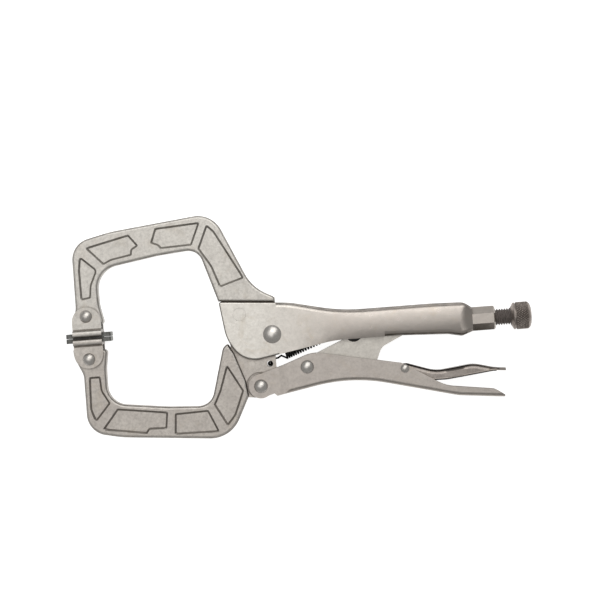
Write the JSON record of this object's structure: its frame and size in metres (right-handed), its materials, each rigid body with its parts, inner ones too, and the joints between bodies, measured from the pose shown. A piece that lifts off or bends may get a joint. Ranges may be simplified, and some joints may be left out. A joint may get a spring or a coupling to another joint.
{
  "type": "locking c clamp",
  "caption": "Locking C clamp with swivel pads: two forged arms around a deep throat, an over-centre handle pair with release lever, and a knurled adjusting screw.",
  "frame": {"origin": "middle of the plane where the two pad faces meet, on the clamp's mid-plane", "axes": "+X along the screw axis direction towards the knob, +Y from the lower jaw to the upper jaw and normal to the pad faces, +Z normal to the flat clamp, which lies on its side"},
  "size_m": [0.2784, 0.1333, 0.0226],
  "materials": {
    "forged_steel": "nickel-plated drop forging, satin, slightly grainy",
    "pressed_steel": "nickel-plated pressed sheet, satin with faint stains",
    "rivet_steel": "nickel-plated rivet, polished dome",
    "screw_steel": "zinc-plated steel, dull brownish grey",
    "spring_steel": "black oiled spring wire",
    "pad_steel": "dark grey hardened pad face"
  },
  "bodies": {
    "upper_handle": {"upper_handle": "pressed_steel", "upper_jaw": "forged_steel", "jaw_anchor_rivet": "rivet_steel", "main_pivot_rivet": "rivet_steel", "spring_anchor": "rivet_steel", "return_spring": "spring_steel", "upper_pad_rivet": "rivet_steel"},
    "adjusting_screw": {"adjusting_screw": "screw_steel"},
    "adjusting_knob": {"adjusting_knob": "screw_steel"},
    "lower_jaw": {"lower_jaw": "forged_steel", "lever_pivot_rivet": "rivet_steel", "lower_pad_rivet": "rivet_steel"},
    "lower_handle": {"lower_handle": "pressed_steel", "link_rivet": "rivet_steel", "release_rivet": "rivet_steel"},
    "toggle_link": {"toggle_link": "pressed_steel", "link_stop": "spring_steel"},
    "release_lever": {"release_lever": "pressed_steel"},
    "upper_pad": {"upper_pad_bracket": "forged_steel", "upper_pad_plate": "pad_steel"},
    "lower_pad": {"lower_pad_bracket": "forged_steel", "lower_pad_plate": "pad_steel"}
  },
  "joints": [
    {"name": "jaw_open", "type": "hinge", "parent": "upper_handle", "child": "lower_jaw", "pos_m": [0.11, -0.006, 0], "axis": [0, 0, 1], "range_deg": [0, 40], "deforming": ["return_spring"]},
    {"name": "handle_swing", "type": "hinge", "parent": "lower_jaw", "child": "lower_handle", "pos_m": [0.101, -0.0365, 0], "axis": [0, 0, 1], "range_deg": [-100.5, 0]},
    {"name": "link_swing", "type": "hinge", "parent": "lower_handle", "child": "toggle_link", "pos_m": [0.1294, -0.027, 0], "axis": [0, 0, 1], "range_deg": [0, 91.66]},
    {"name": "release_press", "type": "hinge", "parent": "lower_handle", "child": "release_lever", "pos_m": [0.1875, -0.0323, 0], "axis": [0, 0, 1], "range_deg": [-8, 0]},
    {"name": "knob_turn", "type": "hinge", "parent": "adjusting_screw", "child": "adjusting_knob", "pos_m": [0.26, -0.006, 0], "axis": [1, 0, 0], "range_deg": [0, 6011]},
    {"name": "screw_feed", "type": "slide", "parent": "upper_handle", "child": "adjusting_screw", "axis": [1, 0, 0], "range_m": [0, 0.025]},
    {"name": "upper_pad_swivel", "type": "hinge", "parent": "upper_handle", "child": "upper_pad", "pos_m": [0, 0.0128, 0], "axis": [0, 0, 1], "range_deg": [0, 20.5]},
    {"name": "lower_pad_swivel", "type": "hinge", "parent": "lower_jaw", "child": "lower_pad", "pos_m": [0, -0.0128, 0], "axis": [0, 0, 1], "range_deg": [-20.5, 0]}
  ],
  "couplings": [
    {"joint": "handle_swing", "follows": "jaw_open", "ratio": -2.5},
    {"joint": "link_swing", "follows": "jaw_open", "ratio": 2.279},
    {"joint": "upper_pad_swivel", "follows": "jaw_open", "ratio": 0.5},
    {"joint": "lower_pad_swivel", "follows": "jaw_open", "ratio": -0.5},
    {"joint": "knob_turn", "follows": "screw_feed", "rad_per_m": 4188.8}
  ]
}
